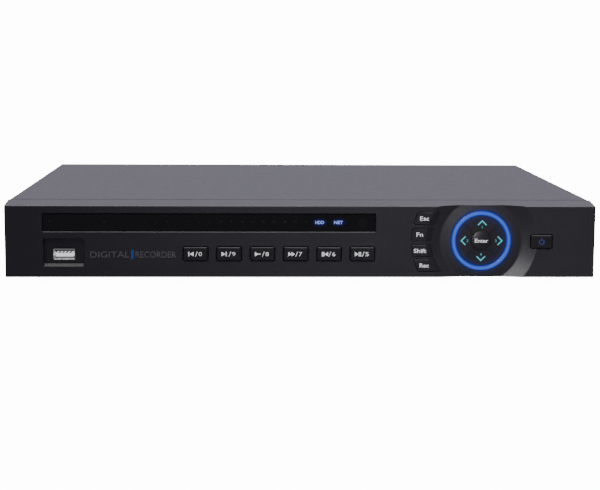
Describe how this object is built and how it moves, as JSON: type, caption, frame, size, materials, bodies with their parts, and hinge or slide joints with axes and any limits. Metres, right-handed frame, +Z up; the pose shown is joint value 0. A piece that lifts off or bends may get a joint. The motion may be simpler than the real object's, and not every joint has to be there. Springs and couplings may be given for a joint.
{
  "type": "digital video recorder",
  "caption": "Slim black steel-cased video recorder with a moulded front: display window, key row, USB socket, round lit navigation pad, and a rear panel of video and network sockets.",
  "frame": {"origin": "centre of the footprint, on the ground under the feet", "axes": "+X to the right seen from the front, +Y to the back, +Z up; the front faces -Y"},
  "size_m": [0.375, 0.285, 0.053],
  "materials": {
    "painted_steel": "satin",
    "zinc_steel": "satin",
    "fascia_plastic": "satin",
    "key_plastic": "satin",
    "window_acrylic": "gloss",
    "lit_ring": "satin",
    "foot_rubber": "matte",
    "nickel_plate": "gloss",
    "socket_block": "gloss",
    "white_nylon": "satin",
    "laminate": "satin",
    "bare_aluminium": "satin",
    "dark_plastic": "satin",
    "green_plastic": "satin",
    "red_cable": "satin",
    "black_cable": "satin",
    "grey_cable": "satin"
  },
  "bodies": {
    "case": {"top_cover": "painted_steel", "bottom_chassis": "painted_steel", "rear_panel": "painted_steel", "side_screw_left_front": "zinc_steel", "side_screw_left_rear": "zinc_steel", "side_screw_right_front": "zinc_steel", "side_screw_right_rear": "zinc_steel", "rear_screw_left": "zinc_steel", "rear_screw_centre": "zinc_steel", "rear_screw_right": "zinc_steel", "ground_screw": "zinc_steel", "coin_cell": "zinc_steel", "front_fascia": "fascia_plastic", "display_window": "window_acrylic", "light_ring": "lit_ring", "foot_front_left": "foot_rubber", "foot_front_right": "foot_rubber", "foot_rear_left": "foot_rubber", "foot_rear_right": "foot_rubber", "front_usb_shell": "nickel_plate", "vga_port": "nickel_plate", "hdmi_port": "nickel_plate", "lan_port": "nickel_plate", "rear_usb_port": "nickel_plate", "video_input_block": "socket_block", "front_usb_tongue": "white_nylon", "key_board": "laminate", "mainboard": "laminate", "heat_sink": "bare_aluminium", "hard_drive": "bare_aluminium", "indicator_shroud": "dark_plastic", "ir_receiver": "dark_plastic", "fan_frame": "dark_plastic", "audio_block": "dark_plastic", "dc_jack": "dark_plastic", "power_switch_frame": "dark_plastic", "terminal_block": "green_plastic", "sata_cable": "red_cable", "disk_power_cable": "black_cable", "front_ribbon": "grey_cable"},
    "previous_key": {"previous_key": "key_plastic"},
    "play_key": {"play_key": "key_plastic"},
    "slow_key": {"slow_key": "key_plastic"},
    "fast_key": {"fast_key": "key_plastic"},
    "step_back_key": {"step_back_key": "key_plastic"},
    "step_forward_key": {"step_forward_key": "key_plastic"},
    "esc_key": {"esc_key": "key_plastic"},
    "fn_key": {"fn_key": "key_plastic"},
    "shift_key": {"shift_key": "key_plastic"},
    "record_key": {"record_key": "key_plastic"},
    "power_key": {"power_key": "key_plastic"},
    "up_key": {"up_key": "key_plastic"},
    "right_key": {"right_key": "key_plastic"},
    "down_key": {"down_key": "key_plastic"},
    "left_key": {"left_key": "key_plastic"},
    "enter_key": {"enter_key": "key_plastic"},
    "fan_rotor": {"fan_rotor": "dark_plastic"},
    "power_rocker": {"power_rocker": "dark_plastic"}
  },
  "joints": [
    {"name": "previous_key_press", "type": "slide", "parent": "case", "child": "previous_key", "axis": [0, 1, 0], "range_m": [0, 0.0005], "stiffness_N_per_m": 400, "springref_m": -0.002},
    {"name": "play_key_press", "type": "slide", "parent": "case", "child": "play_key", "axis": [0, 1, 0], "range_m": [0, 0.0005], "stiffness_N_per_m": 400, "springref_m": -0.002},
    {"name": "slow_key_press", "type": "slide", "parent": "case", "child": "slow_key", "axis": [0, 1, 0], "range_m": [0, 0.0005], "stiffness_N_per_m": 400, "springref_m": -0.002},
    {"name": "fast_key_press", "type": "slide", "parent": "case", "child": "fast_key", "axis": [0, 1, 0], "range_m": [0, 0.0005], "stiffness_N_per_m": 400, "springref_m": -0.002},
    {"name": "step_back_key_press", "type": "slide", "parent": "case", "child": "step_back_key", "axis": [0, 1, 0], "range_m": [0, 0.0005], "stiffness_N_per_m": 400, "springref_m": -0.002},
    {"name": "step_forward_key_press", "type": "slide", "parent": "case", "child": "step_forward_key", "axis": [0, 1, 0], "range_m": [0, 0.0005], "stiffness_N_per_m": 400, "springref_m": -0.002},
    {"name": "esc_key_press", "type": "slide", "parent": "case", "child": "esc_key", "axis": [0, 1, 0], "range_m": [0, 0.0005], "stiffness_N_per_m": 400, "springref_m": -0.002},
    {"name": "fn_key_press", "type": "slide", "parent": "case", "child": "fn_key", "axis": [0, 1, 0], "range_m": [0, 0.0005], "stiffness_N_per_m": 400, "springref_m": -0.002},
    {"name": "shift_key_press", "type": "slide", "parent": "case", "child": "shift_key", "axis": [0, 1, 0], "range_m": [0, 0.0005], "stiffness_N_per_m": 400, "springref_m": -0.002},
    {"name": "record_key_press", "type": "slide", "parent": "case", "child": "record_key", "axis": [0, 1, 0], "range_m": [0, 0.0005], "stiffness_N_per_m": 400, "springref_m": -0.002},
    {"name": "power_key_press", "type": "slide", "parent": "case", "child": "power_key", "axis": [0, 1, 0], "range_m": [0, 0.0005], "stiffness_N_per_m": 400, "springref_m": -0.002},
    {"name": "up_key_press", "type": "slide", "parent": "case", "child": "up_key", "axis": [0, 1, 0], "range_m": [0, 0.0005], "stiffness_N_per_m": 400, "springref_m": -0.002},
    {"name": "right_key_press", "type": "slide", "parent": "case", "child": "right_key", "axis": [0, 1, 0], "range_m": [0, 0.0005], "stiffness_N_per_m": 400, "springref_m": -0.002},
    {"name": "down_key_press", "type": "slide", "parent": "case", "child": "down_key", "axis": [0, 1, 0], "range_m": [0, 0.0005], "stiffness_N_per_m": 400, "springref_m": -0.002},
    {"name": "left_key_press", "type": "slide", "parent": "case", "child": "left_key", "axis": [0, 1, 0], "range_m": [0, 0.0005], "stiffness_N_per_m": 400, "springref_m": -0.002},
    {"name": "enter_key_press", "type": "slide", "parent": "case", "child": "enter_key", "axis": [0, 1, 0], "range_m": [0, 0.0005], "stiffness_N_per_m": 400, "springref_m": -0.002},
    {"name": "fan_spin", "type": "hinge", "parent": "case", "child": "fan_rotor", "pos_m": [0.1586, 0.1207, 0.0295], "axis": [0, 1, 0], "continuous": true},
    {"name": "power_rocker_tilt", "type": "hinge", "parent": "case", "child": "power_rocker", "pos_m": [0.13, 0.131, 0.026], "axis": [-1, 0, 0], "range_deg": [0, 22]}
  ]
}
